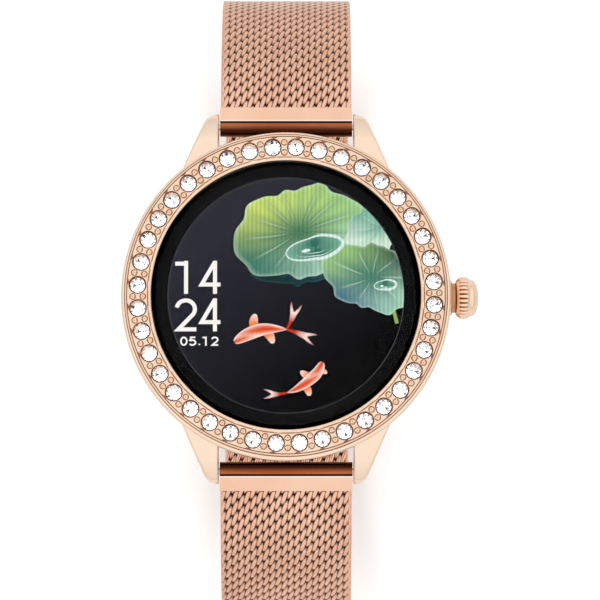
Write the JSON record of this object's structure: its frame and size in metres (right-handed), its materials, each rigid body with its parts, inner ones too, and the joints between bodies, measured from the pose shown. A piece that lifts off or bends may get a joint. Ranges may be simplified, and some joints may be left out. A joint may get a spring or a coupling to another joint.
{
  "type": "smartwatch",
  "caption": "Round smartwatch with a stone-set bezel, ribbed crown, lugs and a woven mesh strap closed in a loop by a slide clasp.",
  "frame": {"origin": "centre of the flat outer face of the sensor window, which rests on the wrist", "axes": "+Z out of the display, +X to the crown at 3 o'clock, +Y to 12 o'clock"},
  "size_m": [0.0482, 0.0878, 0.0528],
  "materials": {
    "rose_gold": "polished rose gold plating",
    "mesh": "woven wire, rose gold plating",
    "steel": "satin",
    "stone": "faceted clear stone, foil backed",
    "glass": "polished",
    "display": "lit display",
    "black_plastic": "matt",
    "seal": "matt",
    "board": "solder mask",
    "copper": "gold flash"
  },
  "bodies": {
    "head": {"case_middle": "rose_gold", "bezel_ring": "rose_gold", "bezel_stones": "stone", "cover_glass": "glass", "display_gasket": "seal", "display_module": "display", "display_flex": "copper", "mid_frame": "black_plastic", "radio_antenna": "copper", "main_board": "board", "processor_shield": "steel", "board_chips": "black_plastic", "battery": "steel", "vibration_motor": "steel", "case_back": "rose_gold", "back_gasket": "seal", "back_screws": "steel", "sensor_window": "glass", "sensor_board": "board", "sensor_leds": "copper", "charge_pads": "copper", "crown_tube": "rose_gold", "crown_seal": "seal", "crown_switch": "steel"},
    "crown_rotor": {"encoder_wheel": "black_plastic"},
    "crown": {"crown_stem": "steel", "crown_clip": "steel", "crown_knob": "rose_gold"},
    "upper_strap": {"upper_end_piece": "rose_gold", "upper_bar_tube": "steel", "upper_bar_tip": "steel", "upper_bar_spring": "steel", "upper_mesh": "mesh", "end_ring": "rose_gold"},
    "upper_release": {"upper_release_pin": "steel"},
    "lower_strap": {"lower_end_piece": "rose_gold", "lower_bar_tube": "steel", "lower_bar_tip": "steel", "lower_bar_spring": "steel", "lower_mesh": "mesh", "clasp_frame": "rose_gold", "cover_pin": "steel", "lock_pin": "steel"},
    "lower_release": {"lower_release_pin": "steel"},
    "clasp_cover": {"clasp_cover": "rose_gold"},
    "clasp_lock": {"clasp_lock": "rose_gold"}
  },
  "joints": [
    {"name": "crown_spin", "type": "hinge", "parent": "head", "child": "crown_rotor", "pos_m": [0.018, 0, 0.0056], "axis": [1, 0, 0], "continuous": true},
    {"name": "crown_press", "type": "slide", "parent": "crown_rotor", "child": "crown", "axis": [-1, 0, 0], "range_m": [0, 0.0005], "stiffness_N_per_m": 1500},
    {"name": "upper_strap_swing", "type": "hinge", "parent": "head", "child": "upper_strap", "pos_m": [0, 0.02335, 0.0044], "axis": [1, 0, 0], "range_deg": [0, 45]},
    {"name": "upper_release", "type": "slide", "parent": "upper_strap", "child": "upper_release", "axis": [-1, 0, 0], "range_m": [0, 0.0013], "stiffness_N_per_m": 400, "deforming": ["upper_bar_spring"]},
    {"name": "lower_strap_swing", "type": "hinge", "parent": "head", "child": "lower_strap", "pos_m": [0, -0.02335, 0.0044], "axis": [-1, 0, 0], "range_deg": [0, 9]},
    {"name": "lower_release", "type": "slide", "parent": "lower_strap", "child": "lower_release", "axis": [-1, 0, 0], "range_m": [0, 0.0013], "stiffness_N_per_m": 400, "deforming": ["lower_bar_spring"]},
    {"name": "cover_hinge", "type": "hinge", "parent": "lower_strap", "child": "clasp_cover", "pos_m": [0, -0.0072, -0.0401], "axis": [-1, 0, 0], "range_deg": [0, 90]},
    {"name": "lock_hinge", "type": "hinge", "parent": "lower_strap", "child": "clasp_lock", "pos_m": [0, -0.0136, -0.0401], "axis": [-1, 0, 0], "range_deg": [0, 60]}
  ],
  "couplings": [
    {"joint": "cover_hinge", "follows": "upper_strap_swing", "ratio": 2},
    {"joint": "lower_strap_swing", "follows": "upper_strap_swing", "ratio": 0.2}
  ]
}
